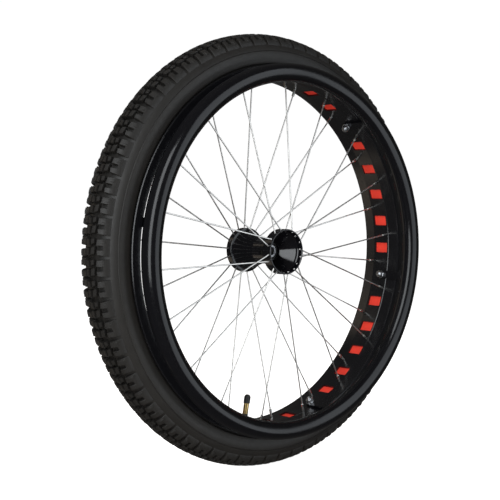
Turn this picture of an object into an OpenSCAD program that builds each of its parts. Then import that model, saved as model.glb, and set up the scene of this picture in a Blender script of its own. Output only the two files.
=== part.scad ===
/* [Position] */
// Turn of the wheel about its axle at rest, in degrees clockwise from the handrim side
rest_turn = 10; // [0:1:359]

/* [Tyre] */
// Outside diameter of the tyre
tyre_d = 616; // [580:1:660]
// Widest part of the tyre's carcass
tyre_w = 67; // [50:1:80]
// Radius of the tread's round shoulder
tread_r = 35; // [25:0.5:40]
// Height of the tread blocks
block_h = 6; // [2:0.5:9]
// Tread blocks around the tyre
block_count = 72; // [36:6:96]
// Gap between neighbouring blocks
block_gap = 4; // [2:0.5:8]

/* [Rim] */
// Radius of the rim's flat middle band, on the side facing the hub
rim_r = 246.3; // [230:0.1:260]
// Half of the rim's overall width
rim_half_w = 34.4; // [25:0.1:40]
// Thickness of the middle band
rim_wall = 2.6; // [1.5:0.1:4]
// Radius at the top of the rim's side walls
rim_lip_r = 262.2; // [255:0.1:270]
// Radius of the bead seat
bead_r = 253.5; // [245:0.1:265]
// Width of a window across the rim
window_w = 24; // [10:0.5:30]
// Length of a window around the rim
window_l = 15.4; // [8:0.1:20]

/* [Handrim] */
// Radius from the axle to the middle of the handrim's tube
handrim_r = 249.3; // [220:0.1:270]
// Outside diameter of the handrim's tube
handrim_tube_d = 25.8; // [16:0.1:30]
// Wall of the handrim's tube
handrim_wall = 1.6; // [1:0.1:3]
// Distance of the handrim's plane from the rim's middle
handrim_y = 57.6; // [45:0.1:70]
// Width of a handrim tab
tab_w = 12.4; // [8:0.1:20]
// Thickness of a handrim tab
tab_t = 3; // [2:0.1:5]

/* [Hub] */
// Radius of both hub flanges
flange_r = 32.2; // [25:0.1:40]
// Outboard end of the hub
hub_out = 40.5; // [35:0.1:50]
// Inboard end of the hub
hub_in = 53.5; // [45:0.1:60]
// Radius of the hub's barrel
barrel_r = 18.6; // [16:0.1:24]
// Radius of the axle's bore
axle_bore_r = 6.35; // [5:0.01:8]

/* [Spokes] */
// Diameter of a spoke
spoke_d = 2; // [1.6:0.1:2.6]
// Sideways stagger of the nipple holes from the rim's middle
nipple_y = 11.5; // [5:0.1:18]
// Radius of the circle of spoke heads on each flange
head_circle_r = 30.8; // [29:0.1:31]

/* [Valve] */
// Diameter of the valve stem
valve_d = 7.7; // [6:0.1:9]
// Radius from the axle to the tip of the valve cap
valve_tip_r = 207; // [195:0.5:220]

/* [Hidden] */
$fn = 96;
tyre_r = tyre_d / 2;
tread_c = tyre_r - tread_r;
tyre_hw = tyre_w / 2;
carcass_up = tread_r - block_h - 1;
sr = spoke_d / 2;
hole_r = sr + 0.12;
seat_r = 14.3;
race_or = 14.28;
out_brg = -7.7;
brg_w = 7.94;
in_brg = 43.5;
pitch_r = 10.6;
ball_r = 1.98;
balls = 9;
tab_k = [3, 9, 15, 21, 27, 33];
solid_k = [0, 3, 9, 15, 18, 21, 27, 33];
bolt_y = -6;
tab_top = rim_r - 0.1;
tab_low = tab_top - tab_t;
seat_lead = -37.5;
seat_trail = -35.1;
seat_in = 47.6;
lace = 20;
port_y = -6.55;
rim_hole_r = rim_r + rim_wall;

// A ring about the axle from a profile of [radius, distance along the axle]
module ring(p) {
    rotate([-90, 0, 0]) rotate_extrude(convexity = 8) polygon(p);
}

// Places what is drawn at the top of the wheel at position k, ten degrees apart
module at(k) {
    rotate([0, 10 * k + rest_turn, 0]) children();
}

// A cylinder from point a to point b
module rod(a, b, r) {
    d = b - a;
    l = norm(d);
    translate(a) rotate([0, acos(d[2] / l), atan2(d[1], d[0])]) cylinder(h = l, r = r);
}

// A profile of [radius, height] turned about the line from point a towards point b
module turned(a, b, p) {
    d = b - a;
    l = norm(d);
    translate(a) rotate([0, acos(d[2] / l), atan2(d[1], d[0])]) rotate_extrude() polygon(p);
}

function mirror_y(p) = [for (i = [len(p) - 1:-1:0]) [p[i][0], -p[i][1]]];

// Outer line of the tread at distance y from the middle
function tread_line(y) = tread_c + sqrt(tread_r * tread_r - y * y);

// Point on the flange circle, a degrees from the top
function on_flange(a, y) = [head_circle_r * sin(a), y, head_circle_r * cos(a)];

// Unit direction along a spoke that starts at h
function spoke_dir(h, s) = (rim_point(s) - h) / norm(rim_point(s) - h);

// Middle of a nipple hole on the rim's inner face, s = 1 inboard and -1 outboard
function rim_point(s) = [0, s * nipple_y, rim_r];

tyre_side = [
    for (y = [0, 3.5, 6.6]) [tread_line(y), y],
    [tread_line(7) - block_h, 7],
    [tread_line(10) - block_h, 10],
    for (y = [10.4, 14, 18]) [tread_line(y), y],
    [tread_line(18.4) - block_h + 0.5, 18.4],
    [tread_line(21) - block_h + 0.5, 21],
    for (y = [21.4, 24, 27, 29.8]) [tread_line(y), y],
    for (t = [60, 68, 76, 84, 92, 100]) [tread_c + carcass_up * cos(t), tyre_hw * sin(t)],
    [263.6, 31.9],
    [262.6, 30.7],
    [bead_r + 0.3, 30.7],
    [bead_r + 0.3, 24.6],
    [257, 24],
    [262, 27.4],
    for (t = [112:-8:0]) [tread_c + 0.5 + (carcass_up - 5) * cos(t), (tyre_hw - 3) * sin(t)],
];

module tyre() {
    color([0.12, 0.12, 0.12])
    difference() {
        ring(concat(tyre_side, mirror_y(tyre_side)));
        for (i = [0:block_count - 1])
            rotate([0, (i + 0.5) * 360 / block_count + rest_turn, 0])
                translate([-block_gap / 2, -31, tyre_r - block_h - 0.6])
                    cube([block_gap, 62, block_h + 4]);
    }
}

tube_out = [for (t = [-180:15:165]) [273.6 + 21.6 * cos(t), 29 * sin(t) * (1 - 0.16 * (1 - cos(t)) / 2)]];
tube_in = [for (t = [-180:15:165]) [273.6 + 20.6 * cos(t), 28 * sin(t) * (1 - 0.16 * (1 - cos(t)) / 2)]];

module inner_tube() {
    color([0.08, 0.08, 0.08])
    difference() {
        ring(tube_out);
        ring(tube_in);
    }
}

rim_side = [
    [rim_r, 0],
    [rim_r, 14.2],
    [rim_r + 0.5, 15],
    [rim_r + 1.7, 31.4],
    [rim_r + 2.4, rim_half_w - 0.9],
    [rim_r + 3.7, rim_half_w],
    [rim_lip_r - 1, rim_half_w],
    [rim_lip_r, rim_half_w - 0.9],
    [rim_lip_r, 31.8],
    [rim_lip_r - 0.8, 31],
    [bead_r, 31],
    [bead_r, 23],
    [bead_r - 1, 21.8],
    [rim_hole_r + 0.4, 18.6],
    [rim_hole_r, 17.4],
    [rim_hole_r, 0],
];

module window() {
    w = window_w / 2;
    l = window_l / 2;
    translate([0, 0, rim_r - 2])
        linear_extrude(height = rim_wall + 4)
            polygon([[-l + 1.2, -w], [l - 1.2, -w], [l - 0.35, -w + 0.35], [l, -w + 1.2],
                [l, w - 1.2], [l - 0.35, w - 0.35], [l - 1.2, w], [-l + 1.2, w],
                [-l + 0.35, w - 0.35], [-l, w - 1.2], [-l, -w + 1.2], [-l + 0.35, -w + 0.35]]);
}

// Start point of the spoke in rim hole k, in the frame where that hole is at the top
function spoke_start(k) = k % 2 == 0 ? on_flange(0, seat_in)
    : k % 4 == 1 ? on_flange(-lace, seat_trail) : on_flange(lace, seat_lead);

function spoke_side(k) = k % 2 == 0 ? 1 : -1;

// Point on the spoke's line a distance back from the rim's inner face
function along(k, back) = rim_point(spoke_side(k)) - back * spoke_dir(spoke_start(k), spoke_side(k));

nipple_pts = [[1.06, -11.6], [1.7, -11.6], [2, -11.2], [2, 0.5], [3, 2.1], [3, 2.3], [1.06, 2.3]];
nipple_cut = [[0, -3], [2.15, -3], [2.15, 0.45], [3.2, 2.1], [3.2, 5], [0, 5]];

module rim() {
    color([0.06, 0.06, 0.065])
    difference() {
        ring(concat(rim_side, mirror_y(rim_side)));
        for (k = [0:35])
            if (len(search(k, solid_k)) == 0) at(k) window();
        for (k = [0:35])
            at(k + 0.5) turned(along(k, 0), along(k, -1), nipple_cut);
        for (k = tab_k)
            at(k) turned([0, bolt_y, rim_r], [0, bolt_y, rim_r + 1],
                [[0, -3], [3.1, -3], [3.1, 0.2], [5.6, rim_wall - 0.15], [5.6, 5], [0, 5]]);
        at(18) translate([0, 0, rim_r - 3]) cylinder(h = 10, r = 4.3);
        at(0) translate([-0.15, -40, rim_r - 1]) cube([0.3, 80, 1.3]);
        for (s = [-1, 1])
            at(0) rod([-21, s * 25.5, 250.4], [21, s * 25.5, 250.4], 1.95);
    }
}

module rim_tape() {
    color([0.85, 0.08, 0.06])
    difference() {
        ring([[rim_hole_r + 0.05, -16.8], [rim_hole_r + 0.65, -16.8], [rim_hole_r + 0.65, 16.8],
            [rim_hole_r + 0.05, 16.8]]);
        at(18) translate([0, 0, rim_r - 3]) cylinder(h = 10, r = 4.4);
    }
}

module rim_joint_pins() {
    color([0.6, 0.6, 0.62])
    for (s = [-1, 1])
        at(0) rod([-20.9, s * 25.5, 250.4], [20.9, s * 25.5, 250.4], 1.93);
}

hub_pts = [
    [12.2, -12.5],
    [27.5, -30],
    [29.2, -31.6],
    [30, -32.8],
    [30, -hub_out + 0.7],
    [30.6, -hub_out],
    [flange_r - 0.5, -hub_out],
    [flange_r, -hub_out + 0.5],
    [flange_r, -25.4],
    [flange_r - 0.6, -24.8],
    [28, -22.5],
    [barrel_r + 1, -12],
    [barrel_r, -10.8],
    [barrel_r, -9.9],
    [barrel_r - 0.3, -9.9],
    [barrel_r - 0.3, -9.5],
    [barrel_r, -9.5],
    [barrel_r, -3.6],
    [barrel_r - 0.3, -3.6],
    [barrel_r - 0.3, -3.2],
    [barrel_r, -3.2],
    [barrel_r, 12.5],
    [flange_r - 3.2, 42.4],
    [flange_r - 0.4, 43.4],
    [flange_r, 43.8],
    [flange_r, hub_in - 0.5],
    [flange_r - 0.5, hub_in],
    [30.6, hub_in],
    [30, hub_in - 0.7],
    [30, 45.3],
    [29.2, 44.5],
    [19.2, 44.5],
    [18.4, 45.3],
    [18.4, hub_in],
    [seat_r, hub_in],
    [seat_r, out_brg],
    [12.2, out_brg],
];

module hub_shell() {
    color([0.05, 0.05, 0.055])
    difference() {
        ring(hub_pts);
        for (k = [0:35])
            at(k + 0.5) {
                turned(spoke_start(k), along(k, 0),
                    [[0, -6], [1.85, -6], [1.85, 0], [hole_r, 0], [hole_r, 6], [0, 6]]);
            }
        ring([[14, in_brg + brg_w + 0.06], [15.2, in_brg + brg_w + 0.06], [15.2, in_brg + brg_w + 1.16],
            [14, in_brg + brg_w + 1.16]]);
        rotate([0, 265, 0]) translate([0, port_y, 15]) cylinder(h = 5, r = 2.8);
    }
}

module grease_port_plug() {
    color([0.2, 0.2, 0.16])
    rotate([0, 265, 0])
    difference() {
        translate([0, port_y, 15]) cylinder(h = 1.9, r = 2.75);
        translate([0, port_y, 16]) cylinder(h = 2, r = 1.25, $fn = 6);
    }
}

module outer_race(y) {
    difference() {
        ring([[12.15, y], [race_or - 0.4, y], [race_or, y + 0.4], [race_or, y + brg_w - 0.4],
            [race_or - 0.4, y + brg_w], [12.15, y + brg_w]]);
        groove(y);
    }
}

module inner_race(y) {
    difference() {
        ring([[axle_bore_r, y], [9, y], [9, y + brg_w], [axle_bore_r, y + brg_w]]);
        groove(y);
    }
}

module groove(y) {
    translate([0, y + brg_w / 2, 0]) rotate([-90, 0, 0])
        rotate_extrude() translate([pitch_r, 0]) circle(r = ball_r + 0.05, $fn = 48);
}

module ball_row(y) {
    for (i = [0:balls - 1])
        rotate([0, i * 360 / balls, 0]) translate([0, y + brg_w / 2, pitch_r]) sphere(r = ball_r);
}

module cage(y) {
    difference() {
        ring([[10.1, y + 1.3], [11.1, y + 1.3], [11.1, y + brg_w - 1.3], [10.1, y + brg_w - 1.3]]);
        for (i = [0:balls - 1])
            rotate([0, i * 360 / balls, 0]) translate([0, y + brg_w / 2, 9])
                cylinder(h = 3, r = ball_r + 0.06);
    }
}

module seals(y) {
    for (s = [y + 0.3, y + brg_w - 1.1])
        ring([[9.15, s], [12.05, s], [12.05, s + 0.8], [9.15, s + 0.8]]);
}

module outboard_outer_race() {
    color([0.7, 0.71, 0.73]) outer_race(out_brg);
}

module outboard_inner_race() {
    color([0.7, 0.71, 0.73]) inner_race(out_brg);
}

module outboard_balls() {
    color([0.8, 0.81, 0.83]) ball_row(out_brg);
}

module outboard_cage() {
    color([0.75, 0.6, 0.3]) cage(out_brg);
}

module outboard_seals() {
    color([0.1, 0.1, 0.1]) seals(out_brg);
}

module inboard_outer_race() {
    color([0.7, 0.71, 0.73]) outer_race(in_brg);
}

module inboard_inner_race() {
    color([0.7, 0.71, 0.73]) inner_race(in_brg);
}

module inboard_balls() {
    color([0.8, 0.81, 0.83]) ball_row(in_brg);
}

module inboard_cage() {
    color([0.75, 0.6, 0.3]) cage(in_brg);
}

module inboard_seals() {
    color([0.1, 0.1, 0.1]) seals(in_brg);
}

module spacer_sleeve() {
    color([0.75, 0.76, 0.78])
    ring([[axle_bore_r, out_brg + brg_w], [8.2, out_brg + brg_w], [8.2, in_brg], [axle_bore_r, in_brg]]);
}

module retaining_ring() {
    color([0.3, 0.3, 0.32])
    difference() {
        ring([[12.6, in_brg + brg_w + 0.08], [15.1, in_brg + brg_w + 0.08], [15.1, in_brg + brg_w + 1.12],
            [12.6, in_brg + brg_w + 1.12]]);
        translate([-3, 50, 11]) cube([6, 5, 6]);
    }
}

// One straight spoke for rim hole k, its head inside the flange's wall and its end inside the nipple
module spoke(k) {
    h = spoke_start(k);
    l = norm(along(k, 0.5) - h);
    turned(h, along(k, 0.5), [[0, -1.7], [0.9, -1.6], [1.5, -1.15], [1.7, -0.6], [1.7, -0.03], [sr, -0.03],
        [sr, l], [0, l]]);
}

module spokes_inboard() {
    color([0.75, 0.76, 0.78])
    for (k = [0:2:34])
        at(k + 0.5) spoke(k);
}

module spokes_outboard_leading() {
    color([0.75, 0.76, 0.78])
    for (k = [3:4:35])
        at(k + 0.5) spoke(k);
}

module spokes_outboard_trailing() {
    color([0.75, 0.76, 0.78])
    for (k = [1:4:33])
        at(k + 0.5) spoke(k);
}

module nipples_inboard() {
    color([0.78, 0.78, 0.78])
    for (k = [0:2:34])
        at(k + 0.5) turned(along(k, 0), along(k, -1), nipple_pts);
}

module nipples_outboard() {
    color([0.78, 0.78, 0.78])
    for (k = [1:2:35])
        at(k + 0.5) turned(along(k, 0), along(k, -1), nipple_pts);
}

module handrim_tube() {
    color([0.04, 0.04, 0.045])
    translate([0, -handrim_y, 0]) rotate([-90, 0, 0])
        difference() {
            rotate_extrude() translate([handrim_r, 0]) circle(r = handrim_tube_d / 2);
            rotate_extrude() translate([handrim_r, 0]) circle(r = handrim_tube_d / 2 - handrim_wall);
        }
}

module tab() {
    difference() {
        union() {
            translate([-tab_w / 2, -45.8, tab_low]) cube([tab_w, 45.8 + bolt_y, tab_t]);
            translate([0, bolt_y, tab_low]) cylinder(h = tab_t, r = tab_w / 2);
            translate([-tab_w / 2 - 2, -46.4, tab_low - 0.6]) cube([tab_w + 4, 3.4, tab_t + 1.2]);
        }
        translate([0, bolt_y, tab_low - 1]) cylinder(h = tab_t + 2, r = 3.15);
    }
}

module handrim_tabs() {
    color([0.05, 0.05, 0.055])
    for (k = tab_k)
        at(k) tab();
}

module tab_bolts() {
    color([0.72, 0.73, 0.75])
    for (k = tab_k)
        at(k) turned([0, bolt_y, rim_r], [0, bolt_y, rim_r + 1],
            [[0, -12.4], [2, -12.4], [3, -11.4], [3, 0.25], [5.4, 2.3], [5.4, 2.5], [0, 2.5]]);
}

module tab_washers() {
    color([0.74, 0.75, 0.77])
    for (k = tab_k)
        at(k) ring_at(bolt_y, tab_low - 1.25, 3.2, 6, 1.2);
}

// A flat washer about a radial line of the wheel
module ring_at(y, z, r1, r2, h) {
    translate([0, y, z])
        difference() {
            cylinder(h = h, r = r2);
            translate([0, 0, -1]) cylinder(h = h + 2, r = r1);
        }
}

module tab_nuts() {
    color([0.72, 0.73, 0.75])
    for (k = tab_k)
        at(k) translate([0, bolt_y, tab_low - 6.3])
            difference() {
                intersection() {
                    cylinder(h = 5, r = 5.77, $fn = 6);
                    cylinder(h = 5, r1 = 5, r2 = 7.4);
                }
                translate([0, 0, -1]) cylinder(h = 7, r = 3.05);
            }
}

module valve_root() {
    color([0.07, 0.07, 0.07])
    at(18) turned([0, 0, 0], [0, 0, 1],
        [[3.35, 234.5], [3.9, 234.5], [4.15, 235.2], [4.15, 249.7], [10, 249.7],
        [10, 250.4], [8.5, 251.4], [3.35, 251.4]]);
}

module valve_stem() {
    color([0.72, 0.58, 0.3])
    at(18) turned([0, 0, 0], [0, 0, 1],
        [[2.55, 212], [3.2, 212], [valve_d / 2, 212.6], [valve_d / 2, 234.3],
        [3.3, 234.3], [3.3, 251], [2.2, 251], [2.2, 232], [2.55, 232]]);
}

module valve_core() {
    color([0.7, 0.6, 0.35])
    at(18) turned([0, 0, 0], [0, 0, 1],
        [[0.9, 214], [2.5, 214], [2.5, 219], [2.1, 220], [2.1, 233], [1.3, 233.5],
        [1.3, 235], [0.9, 235]]);
}

module valve_pin() {
    color([0.72, 0.58, 0.3])
    at(18) turned([0, 0, 0], [0, 0, 1],
        [[0, 212.6], [0.8, 212.6], [0.8, 235.4], [1.6, 235.4], [1.6, 236.6], [0, 236.6]]);
}

module valve_cap() {
    color([0.05, 0.05, 0.05])
    at(18)
    difference() {
        turned([0, 0, 0], [0, 0, 1], [[0, valve_tip_r], [1.6, valve_tip_r], [3.4, valve_tip_r + 0.9],
            [4.1, valve_tip_r + 2.4], [4.65, valve_tip_r + 3.4], [4.65, valve_tip_r + 12.2],
            [4.3, valve_tip_r + 12.6], [3.93, valve_tip_r + 12.6], [3.93, valve_tip_r + 3.2],
            [0, valve_tip_r + 3.2]]);
        for (a = [0:30:330])
            rotate([0, 0, a]) translate([4.95, 0, valve_tip_r + 4.4]) cylinder(h = 12, r = 0.55, $fn = 16);
    }
}

tyre();
inner_tube();
rim();
rim_tape();
rim_joint_pins();
hub_shell();
grease_port_plug();
outboard_outer_race();
outboard_inner_race();
outboard_balls();
outboard_cage();
outboard_seals();
inboard_outer_race();
inboard_inner_race();
inboard_balls();
inboard_cage();
inboard_seals();
spacer_sleeve();
retaining_ring();
spokes_inboard();
spokes_outboard_leading();
spokes_outboard_trailing();
nipples_inboard();
nipples_outboard();
handrim_tube();
handrim_tabs();
tab_bolts();
tab_washers();
tab_nuts();
valve_root();
valve_stem();
valve_core();
valve_pin();
valve_cap();
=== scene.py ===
import bpy
import bmesh
import math
from mathutils import Matrix, Vector


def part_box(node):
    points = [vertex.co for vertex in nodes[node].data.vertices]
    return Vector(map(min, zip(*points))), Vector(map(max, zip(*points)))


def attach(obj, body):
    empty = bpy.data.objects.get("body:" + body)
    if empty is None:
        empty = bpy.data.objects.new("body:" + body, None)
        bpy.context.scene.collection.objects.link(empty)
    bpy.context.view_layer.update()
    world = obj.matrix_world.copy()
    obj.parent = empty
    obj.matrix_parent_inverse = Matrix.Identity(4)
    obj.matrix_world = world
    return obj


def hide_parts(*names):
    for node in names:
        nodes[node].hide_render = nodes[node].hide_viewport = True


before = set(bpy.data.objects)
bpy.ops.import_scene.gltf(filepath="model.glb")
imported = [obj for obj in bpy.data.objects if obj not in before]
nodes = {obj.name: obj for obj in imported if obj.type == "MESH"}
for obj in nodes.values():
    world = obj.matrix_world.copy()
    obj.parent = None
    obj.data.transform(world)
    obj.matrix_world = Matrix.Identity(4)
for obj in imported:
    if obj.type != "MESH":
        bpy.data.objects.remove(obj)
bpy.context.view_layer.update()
REST_TURN = 10.0
TAU = 2 * math.pi


# ---------------------------------------------------------------- materials
def new_mat(name, color, rough, metal=0.0, spec=0.5):
    m = bpy.data.materials.new(name)
    m.use_nodes = True
    b = m.node_tree.nodes["Principled BSDF"]
    b.inputs["Base Color"].default_value = (*color, 1)
    b.inputs["Roughness"].default_value = rough
    b.inputs["Metallic"].default_value = metal
    b.inputs["Specular IOR Level"].default_value = spec
    return m, m.node_tree, b


def coords(nt, scale=(1, 1, 1)):
    tc = nt.nodes.new("ShaderNodeTexCoord")
    mp = nt.nodes.new("ShaderNodeMapping")
    mp.inputs["Scale"].default_value = scale
    nt.links.new(tc.outputs["Object"], mp.inputs["Vector"])
    return mp.outputs["Vector"]


def noise(nt, vec, scale, detail=4, rough=0.55):
    n = nt.nodes.new("ShaderNodeTexNoise")
    n.inputs["Scale"].default_value = scale
    n.inputs["Detail"].default_value = detail
    n.inputs["Roughness"].default_value = rough
    nt.links.new(vec, n.inputs["Vector"])
    return n.outputs["Fac"]


def remap(nt, fac, lo, hi):
    """Spread the middle of a noise over lo to hi."""
    r = nt.nodes.new("ShaderNodeMapRange")
    r.inputs["From Min"].default_value = 0.3
    r.inputs["From Max"].default_value = 0.7
    r.inputs["To Min"].default_value = lo
    r.inputs["To Max"].default_value = hi
    nt.links.new(fac, r.inputs["Value"])
    return r.outputs["Result"]


def tint(nt, fac, c1, c2):
    mx = nt.nodes.new("ShaderNodeMix")
    mx.data_type = "RGBA"
    mx.inputs["A"].default_value = (*c1, 1)
    mx.inputs["B"].default_value = (*c2, 1)
    nt.links.new(fac, mx.inputs["Factor"])
    return mx.outputs["Result"]


def bump(nt, b, height, dist):
    n = nt.nodes.new("ShaderNodeBump")
    n.inputs["Distance"].default_value = dist
    n.inputs["Strength"].default_value = 1.0
    nt.links.new(height, n.inputs["Height"])
    nt.links.new(n.outputs["Normal"], b.inputs["Normal"])


def gloss_black(name, color, rough, orange=0.00002, spec=0.5):
    m, nt, b = new_mat(name, color, rough, spec=spec)
    v = coords(nt)
    f = noise(nt, v, 60, 5)
    nt.links.new(tint(nt, f, color, tuple(c * 1.7 for c in color)), b.inputs["Base Color"])
    nt.links.new(remap(nt, noise(nt, v, 240, 3), rough * 0.8, rough * 1.3), b.inputs["Roughness"])
    bump(nt, b, noise(nt, v, 90, 2), orange)
    return m


def metal_mat(name, color, rough, scale=(1, 1, 1), grain=400, depth=0.00001):
    m, nt, b = new_mat(name, color, rough, metal=1.0)
    v = coords(nt, scale)
    f = noise(nt, v, grain, 4)
    nt.links.new(tint(nt, f, tuple(c * 0.82 for c in color), color), b.inputs["Base Color"])
    nt.links.new(remap(nt, f, rough * 0.75, rough * 1.35), b.inputs["Roughness"])
    bump(nt, b, f, depth)
    return m


def rubber_mat(name, color, rough, grain=900, depth=0.00004):
    m, nt, b = new_mat(name, color, rough, spec=0.4)
    v = coords(nt)
    f = noise(nt, v, 35, 6, 0.6)
    dark, light = tuple(c * 0.75 for c in color), tuple(c * 1.35 for c in color)
    nt.links.new(tint(nt, f, dark, light), b.inputs["Base Color"])
    nt.links.new(remap(nt, noise(nt, v, 120, 4), rough * 0.88, rough * 1.12), b.inputs["Roughness"])
    bump(nt, b, noise(nt, v, grain, 3), depth)
    return m


M = {}
M["tyre"] = rubber_mat("tyre_tread_rubber", (0.017, 0.0155, 0.014), 0.5)
M["tube"] = rubber_mat("tube_butyl", (0.02, 0.02, 0.02), 0.6)
M["rim"] = gloss_black("rim_black", (0.005, 0.005, 0.006), 0.2, 0.000008)
M["tape"] = rubber_mat("tape_red", (0.92, 0.055, 0.033), 0.5, 300, 0.00002)
M["handrim"] = gloss_black("handrim_black", (0.004, 0.004, 0.005), 0.16, 0.000004, 0.36)
M["hub"] = gloss_black("hub_black", (0.003, 0.003, 0.004), 0.12)
M["steel"] = metal_mat("race_steel", (0.55, 0.56, 0.58), 0.28)
M["ball"] = metal_mat("ball_steel", (0.75, 0.76, 0.78), 0.12)
M["cage"] = metal_mat("cage_brass", (0.60, 0.42, 0.18), 0.4)
M["seal"] = rubber_mat("seal_rubber", (0.02, 0.02, 0.02), 0.5)
M["alu"] = metal_mat("sleeve_alu", (0.70, 0.71, 0.73), 0.35, (1, 40, 1), 120)
M["clip"] = metal_mat("clip_steel", (0.16, 0.16, 0.17), 0.4)
M["spoke"] = metal_mat("spoke_steel", (0.86, 0.84, 0.81), 0.35)
M["nipple"] = metal_mat("nipple_nickel", (0.72, 0.71, 0.68), 0.25)
M["zinc"] = metal_mat("fastener_zinc", (0.72, 0.73, 0.75), 0.25)
M["brass"] = metal_mat("valve_brass", (0.62, 0.44, 0.18), 0.32)
M["vrubber"] = rubber_mat("valve_rubber", (0.02, 0.02, 0.02), 0.5)
M["cap"] = rubber_mat("cap_plastic", (0.015, 0.015, 0.015), 0.35, 500, 0.00001)
M["plug"] = rubber_mat("plug_dark", (0.012, 0.012, 0.010), 0.45)

NODE_MAT = {
    "tyre": "tyre", "inner_tube": "tube", "rim": "rim", "rim_tape": "tape", "rim_joint_pins": "steel",
    "hub_shell": "hub", "grease_port_plug": "plug", "outboard_outer_race": "steel",
    "outboard_inner_race": "steel", "outboard_balls": "ball", "outboard_cage": "cage",
    "outboard_seals": "seal", "inboard_outer_race": "steel", "inboard_inner_race": "steel",
    "inboard_balls": "ball", "inboard_cage": "cage", "inboard_seals": "seal", "spacer_sleeve": "alu",
    "retaining_ring": "clip", "spokes_inboard": "spoke", "spokes_outboard_leading": "spoke",
    "spokes_outboard_trailing": "spoke", "nipples_inboard": "nipple", "nipples_outboard": "nipple",
    "handrim_tube": "handrim", "handrim_tabs": "handrim", "tab_bolts": "zinc", "tab_washers": "zinc",
    "tab_nuts": "zinc", "valve_root": "vrubber", "valve_stem": "brass", "valve_core": "brass",
    "valve_pin": "brass", "valve_cap": "cap",
}
for n, o in nodes.items():
    o.data.materials.clear()
    o.data.materials.append(M[NODE_MAT[n]])


# ---------------------------------------------------------------- shapes
def add_mesh(name, verts, faces, mat, smooth_angle):
    me = bpy.data.meshes.new(name)
    me.from_pydata(verts, [], faces)
    me.validate()
    bm = bmesh.new()
    bm.from_mesh(me)
    bmesh.ops.recalc_face_normals(bm, faces=bm.faces)
    bm.to_mesh(me)
    bm.free()
    for p in me.polygons:
        p.use_smooth = True
    me.set_sharp_from_angle(angle=math.radians(smooth_angle))
    o = bpy.data.objects.new(name, me)
    bpy.context.scene.collection.objects.link(o)
    me.materials.append(mat)
    return o


def revolve(profile, segs):
    """Ring about the axle from a closed outline of (radius, distance along the axle) points in metres."""
    n = len(profile)
    verts = []
    for i in range(segs):
        a = TAU * i / segs
        for r, y in profile:
            verts.append((r * math.sin(a), y, r * math.cos(a)))
    faces = []
    for i in range(segs):
        j = (i + 1) % segs
        for k in range(n):
            m = (k + 1) % n
            faces.append((i * n + k, j * n + k, j * n + m, i * n + m))
    return verts, faces


# ---------------------------------------------------------------- tyre
TYRE_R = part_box("tyre")[1].z
TREAD = 0.035  # radius of the tread's arch across the tyre
TC = TYRE_R - TREAD
DEPTH = 0.0068  # height of a full tread block
HALF = 0.0335  # half the width of the carcass
GROOVE_AT = 72  # degrees from the crown to the sidewall's thin groove
GROOVE_DEPTH = 0.0007
FADE_FROM = 28  # shoulder blocks sink into the sidewall from here
FADE_OVER = 42  # and are gone this many degrees further out


def carcass(t):
    """Point of the tyre's outer skin at angle t from the crown, in degrees."""
    a = math.radians(t)
    up = TREAD - DEPTH - 0.0004
    return TC + up * math.cos(a), HALF * math.sin(a)


def grooved(t):
    """The same with a thin groove moulded into each sidewall."""
    r, y = carcass(t)
    if abs(t) == GROOVE_AT:
        y -= math.copysign(GROOVE_DEPTH, y)
    return r, y


def cavity(t):
    """Point of the tyre's inner face at angle t from the crown."""
    a = math.radians(t)
    return TC + 0.0005 + 0.023 * math.cos(a), 0.0305 * math.sin(a)


near_groove = [side * (GROOVE_AT + d) for side in (-1, 1) for d in range(-2, 3)]
outer = [grooved(t) for t in sorted({*range(-100, 101, 4), *near_groove})]
bead = [(0.2650, 0.0331), (0.2641, 0.0326), (0.2636, 0.0318), (0.2628, 0.0309), (0.2604, 0.0307),
        (0.2538, 0.0307), (0.2538, 0.0246), (0.2570, 0.0240), (0.2620, 0.0274)]
inner = [cavity(t) for t in range(112, -113, -14)]
v, f = revolve(outer + bead + inner + [(r, -y) for r, y in reversed(bead)], 360)
tyre = add_mesh("tyre_carcass", v, f, M["tyre"], 50)

PITCHES = 72  # repeats of the tread pattern round the tyre
PHASE = -0.07  # turns the pattern, in pitches


def skin(u, t, h):
    """Point on the tread: u in pitches round the tyre, t in degrees across it, h above the carcass."""
    a = TAU * (u + PHASE) / PITCHES + math.radians(REST_TURN)
    b = math.radians(t)
    r = TC + (TREAD - DEPTH + h) * math.cos(b)
    y = (TREAD - DEPTH + h) * math.sin(b)
    return (r * math.sin(a), y, r * math.cos(a))


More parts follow.
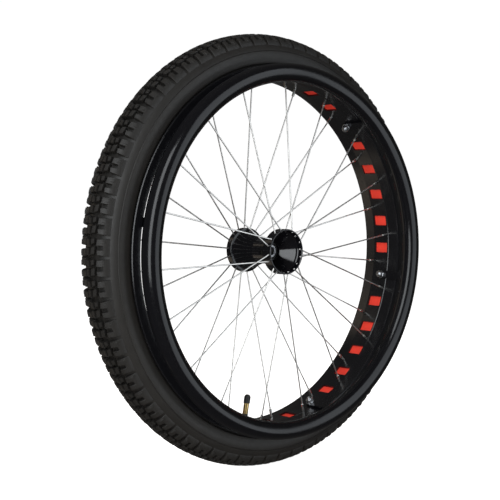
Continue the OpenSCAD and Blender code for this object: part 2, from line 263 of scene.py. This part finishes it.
def block(out, corners, h0, h1, nt, nu=2, edge=0.024):
    """Tread block over four corners (u, t): inner edge start and end, outer edge end and start.

    h0 is its height at the inner edge and h1 at the outer one; without h1 it fades out into the sidewall.
    nt and nu are its rows and columns of faces, and edge is the width of its bevel in pitches.
    """
    verts, faces = out
    c0, c1, c2, c3 = corners
    mid = (sum(c[0] for c in corners) / 4, sum(c[1] for c in corners) / 4)

    def at(a, b, inset, drop):
        x0 = (c0[0] + (c1[0] - c0[0]) * a, c0[1] + (c1[1] - c0[1]) * a)
        x1 = (c3[0] + (c2[0] - c3[0]) * a, c3[1] + (c2[1] - c3[1]) * a)
        u = x0[0] + (x1[0] - x0[0]) * b
        t = x0[1] + (x1[1] - x0[1]) * b
        if inset:
            du, dt = mid[0] - u, mid[1] - t
            u += math.copysign(min(abs(du), inset), du)
            t += math.copysign(min(abs(dt), inset * 22), dt)
        if h1 is None:
            h = h0 * (1 - 1.04 * ((abs(t) - FADE_FROM) / FADE_OVER) ** 2)
        else:
            h = h0 + (h1 - h0) * b
        return skin(u, t, h * drop + (-0.0012 if drop == 0 else 0))

    per = [(i / nu, 0) for i in range(nu)] + [(1, j / nt) for j in range(nt)]
    per += [(1 - i / nu, 1) for i in range(nu)] + [(0, 1 - j / nt) for j in range(nt)]
    m = len(per)
    base = len(verts)
    for inset, drop in ((-edge * 0.3, 0), (0, 0.72), (edge * 0.35, 0.93), (edge, 1)):
        verts.extend(at(a, b, inset, drop) for a, b in per)
    for k in range(3):
        low, high = base + k * m, base + (k + 1) * m
        for i in range(m):
            j = (i + 1) % m
            faces.append((low + i, low + j, high + j, high + i))
    top = base + 3 * m
    idx = {(round(per[i][0] * nu), round(per[i][1] * nt)): top + i for i in range(m)}
    for i in range(1, nu):
        for j in range(1, nt):
            idx[(i, j)] = len(verts)
            verts.append(at(i / nu, j / nt, 0, 1))
    for i in range(nu):
        for j in range(nt):
            faces.append((idx[(i, j)], idx[(i + 1, j)], idx[(i + 1, j + 1)], idx[(i, j + 1)]))


# One pitch of the pattern on one side: corners, height at the inner and at the outer edge in
# full blocks, rows of faces
PATTERN = [
    # crown pair
    (((0.14, 2), (0.50, 1.5), (0.46, 9.5), (0.11, 8.5)), 1.0, 1.0, 3),
    (((0.62, 1.5), (0.92, 2), (0.88, 9), (0.58, 10.5)), 1.0, 1.0, 3),
    # slanted second row
    (((0.14, 13.5), (0.50, 15), (0.55, 24), (0.18, 23)), 1.0, 0.95, 3),
    (((0.64, 15), (0.90, 13.5), (0.93, 21), (0.70, 22.5)), 0.97, 0.92, 3),
    # shoulder: a narrow block and a wide one run out into the sidewall, joined beyond the pocket between them
    (((0.12, 30), (0.38, 28.5), (0.40, 70), (0.035, 70)), 1.0, None, 8),
    (((0.57, 27.5), (0.89, 29), (0.965, 70), (0.57, 70)), 1.0, None, 8),
    (((0.33, 43), (0.63, 42), (0.62, 70), (0.33, 70)), 0.99, None, 6),
    # raised pad on the wide block
    (((0.66, 36), (0.84, 36.5), (0.84, 47), (0.67, 46)), 1.08, None, 3),
]
out = ([], [])
for p in range(PITCHES):
    for s in (-1, 1):
        o = p + (0.5 if s > 0 else 0.0)
        for corners, h0, h1, rows in PATTERN:
            c = [(o + u, s * t) for u, t in corners]
            block(out, c, DEPTH * h0, None if h1 is None else DEPTH * h1, rows)
tread = add_mesh("tyre_tread_blocks", out[0], out[1], M["tyre"], 30)
tread.parent = tyre
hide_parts("tyre")
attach(tyre, "wheel")


# ---------------------------------------------------------------- handrim
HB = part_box("handrim_tube")
H_Y = (HB[0].y + HB[1].y) / 2
H_T = (HB[1].y - HB[0].y) / 2
H_R = HB[1].x - H_T
tube_turn = [TAU * i / 48 for i in range(48)]
v, f = revolve([(H_R + H_T * math.cos(a), H_Y + H_T * math.sin(a)) for a in tube_turn], 288)
handrim = add_mesh("handrim_tube_smooth", v, f, M["handrim"], 80)
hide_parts("handrim_tube")
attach(handrim, "wheel")


# ---------------------------------------------------------------- stage
def stage_plane():
    """Floor that shows as plain white and neither shades nor lights the wheel."""
    me = bpy.data.meshes.new("floor")
    s = 12.0
    z = -TYRE_R - 0.0005
    me.from_pydata([(-s, -s, z), (s, -s, z), (s, s, z), (-s, s, z)], [], [(0, 1, 2, 3)])
    o = bpy.data.objects.new("floor", me)
    bpy.context.scene.collection.objects.link(o)
    m, nt, b = new_mat("floor_pale", (0.93, 0.93, 0.93), 0.75)
    f = noise(nt, coords(nt), 3.0, 3)
    nt.links.new(tint(nt, f, (0.925, 0.925, 0.925), (0.94, 0.94, 0.94)), b.inputs["Base Color"])
    b.inputs["Emission Color"].default_value = (1, 1, 1, 1)
    b.inputs["Emission Strength"].default_value = 1.0
    me.materials.append(m)
    o.visible_glossy = False
    o.visible_diffuse = False
    o.visible_shadow = False


stage_plane()

scene = bpy.context.scene
scene.view_settings.view_transform = "Standard"

# White studio sweep for the camera, and a dark warm room around the wheel for the gloss to reflect
world = bpy.data.worlds.new("studio")
scene.world = world
world.use_nodes = True
wn = world.node_tree
room = wn.nodes["Background"]
room.inputs["Color"].default_value = (1.0, 0.96, 0.9, 1)
room.inputs["Strength"].default_value = 0.06
sweep = wn.nodes.new("ShaderNodeBackground")
sweep.inputs["Color"].default_value = (1, 1, 1, 1)
sweep.inputs["Strength"].default_value = 1.02
path = wn.nodes.new("ShaderNodeLightPath")
mix = wn.nodes.new("ShaderNodeMixShader")
wn.links.new(path.outputs["Is Camera Ray"], mix.inputs[0])
wn.links.new(room.outputs[0], mix.inputs[1])
wn.links.new(sweep.outputs[0], mix.inputs[2])
wn.links.new(mix.outputs[0], wn.nodes["World Output"].inputs["Surface"])


def area(name, loc, target, size, glow, color=(1, 1, 1)):
    """Softbox with an even glow, given as the brightness of its face."""
    l = bpy.data.lights.new(name, "AREA")
    l.shape = "RECTANGLE"
    l.size, l.size_y = size
    l.energy = glow * math.pi * size[0] * size[1]
    l.color = color
    o = bpy.data.objects.new(name, l)
    o.location = loc
    o.rotation_euler = (Vector(target) - Vector(loc)).to_track_quat("-Z", "Y").to_euler()
    o.visible_camera = False
    scene.collection.objects.link(o)
    return o


area("softbox_left", (-2.6, -1.5, 1.0), (0, 0, 0), (1.5, 3.8), 4.6, (0.93, 0.97, 1.0))
front = area("softbox_right", (0.35, -1.0, 0.1), (0, 0, 0), (1.0, 1.9), 1.7, (0.88, 0.94, 1.0))
front.visible_diffuse = False
fill = area("softbox_fill", (-1.25, -1.3, -1.2), (0, 0, 0), (1.6, 1.2), 3.4, (1.0, 0.97, 0.93))
fill.visible_glossy = False
card = area("card_back", (-1.1, 2.3, -0.3), (0, 0, -0.1), (0.75, 4.6), 0.6, (1.0, 0.84, 0.66))
card.visible_diffuse = False
top = area("softbox_top", (0.0, 0.6, 2.2), (0, 0, 0), (2.2, 1.6), 2.6, (1.0, 0.95, 0.88))
top.visible_glossy = False

# ---------------------------------------------------------------- camera
AZ = math.radians(-42.628)
EL = math.radians(2.331)
ROLL = math.radians(0.442)
DIST = 1.5621
FOCAL = 1085.37 / 500  # focal length in picture widths
back = Vector((math.sin(AZ) * math.cos(EL), -math.cos(AZ) * math.cos(EL), math.sin(EL)))
right = (-back).cross(Vector((0, 0, 1))).normalized()
up = right.cross(-back)
r2 = right * math.cos(ROLL) + up * math.sin(ROLL)
u2 = -right * math.sin(ROLL) + up * math.cos(ROLL)
cam = bpy.data.cameras.new("camera")
cam.sensor_width = 36
cam.lens = FOCAL * cam.sensor_width
cam.shift_x = -0.03492
cam.shift_y = 0.00168
cam.clip_start = 0.05
co = bpy.data.objects.new("camera", cam)
co.matrix_world = Matrix(((r2.x, u2.x, back.x, back.x * DIST), (r2.y, u2.y, back.y, back.y * DIST),
                          (r2.z, u2.z, back.z, back.z * DIST), (0, 0, 0, 1)))
scene.collection.objects.link(co)
scene.camera = co
